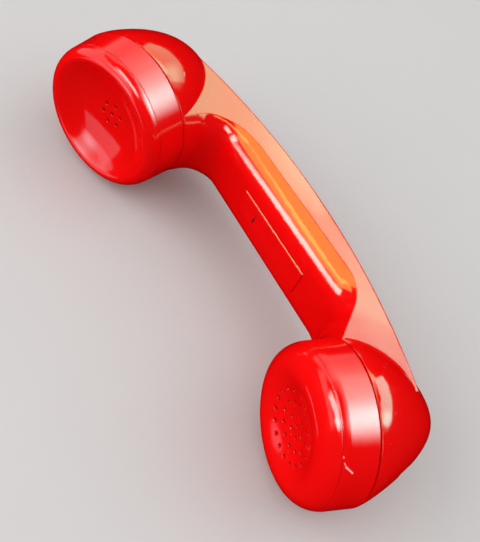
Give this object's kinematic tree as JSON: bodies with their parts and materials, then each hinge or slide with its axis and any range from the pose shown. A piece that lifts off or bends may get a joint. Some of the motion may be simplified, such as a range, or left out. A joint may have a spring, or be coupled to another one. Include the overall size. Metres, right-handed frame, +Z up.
{
  "type": "telephone handset",
  "caption": "One-piece moulded handset with a bowed square grip, two screw-on caps over the ear and mouth units, and a cord jack in the mouth end.",
  "frame": {"origin": "middle of the footprint, at the level the handset lies on", "axes": "+X along the handle from the ear cup to the mouth cup, +Y from the caps to the back of the grip, +Z up, across the handset as it lies on its side"},
  "size_m": [0.223, 0.0692, 0.064],
  "materials": {
    "red_shell": "glossy red moulded plastic",
    "black_plastic": "satin black moulded plastic",
    "clear_plastic": "milky clear plastic",
    "aluminium": "spun aluminium",
    "brass": "plain brass",
    "magnet": "dull cast magnet alloy",
    "steel": "plated steel",
    "copper_coil": "enamelled copper winding",
    "spring_bronze": "phosphor bronze strip",
    "diaphragm": "thin anodised sheet",
    "screen_cloth": "fine woven cloth",
    "bakelite": "brown phenolic",
    "rubber": "black rubber",
    "carbon": "carbon granules",
    "varistor": "blue epoxy coating",
    "gold_contact": "gold flashed wire",
    "white_wire": "white insulated wire",
    "green_wire": "green insulated wire",
    "black_wire": "black insulated wire",
    "red_wire": "red insulated wire",
    "membrane": "oiled silk membrane"
  },
  "bodies": {
    "housing": {"centre_contact_spring": "spring_bronze", "click_suppressor": "varistor", "handle_housing": "red_shell", "jack_contacts": "gold_contact", "jack_housing": "clear_plastic", "receiver_armature_ring": "steel", "receiver_case": "aluminium", "receiver_clamp_ring": "aluminium", "receiver_coil": "copper_coil", "receiver_diaphragm": "diaphragm", "receiver_grid": "aluminium", "receiver_magnet": "magnet", "receiver_pole_core": "steel", "receiver_pole_plate": "steel", "receiver_screen": "screen_cloth", "receiver_support_ring": "black_plastic", "receiver_terminal_plate": "bakelite", "receiver_terminal_screws": "brass", "receiver_wire_a": "white_wire", "receiver_wire_b": "green_wire", "side_contact_spring": "spring_bronze", "terminal_cup": "black_plastic", "terminal_screws": "brass", "transmitter_wire_a": "red_wire", "transmitter_wire_b": "black_wire", "wire_lugs": "spring_bronze"},
    "ear_gasket": {"receiver_gasket": "rubber"},
    "ear_cover": {"ear_cap": "red_shell"},
    "transmitter_unit": {"transmitter_case": "brass", "transmitter_chamber": "bakelite", "transmitter_clamp_ring": "aluminium", "transmitter_diaphragm": "diaphragm", "transmitter_front_electrode": "brass", "transmitter_gasket": "rubber", "transmitter_grid": "aluminium", "transmitter_membrane": "membrane", "transmitter_rear_electrode": "brass", "transmitter_support_ring": "bakelite", "carbon_granules": "carbon"},
    "mouth_cover": {"mouth_cap": "red_shell"}
  },
  "joints": [
    {"name": "ear_cap_rise", "type": "slide", "parent": "housing", "child": "ear_gasket", "axis": [0.2453, -0.9694, 0], "range_m": [0, 0.0045]},
    {"name": "ear_cap_turn", "type": "hinge", "parent": "ear_gasket", "child": "ear_cover", "pos_m": [-0.07995, -0.00769, 0.032], "axis": [0.2453, -0.9694, 0], "range_deg": [0, 540]},
    {"name": "mouth_cap_rise", "type": "slide", "parent": "housing", "child": "transmitter_unit", "axis": [-0.3107, -0.9505, 0], "range_m": [0, 0.0045]},
    {"name": "mouth_cap_turn", "type": "hinge", "parent": "transmitter_unit", "child": "mouth_cover", "pos_m": [0.08165, -0.00769, 0.032], "axis": [-0.3107, -0.9505, 0], "range_deg": [0, 540]}
  ],
  "couplings": [
    {"joint": "ear_cap_rise", "follows": "ear_cap_turn", "m_per_rad": 0.00047746},
    {"joint": "mouth_cap_rise", "follows": "mouth_cap_turn", "m_per_rad": 0.00047746}
  ]
}
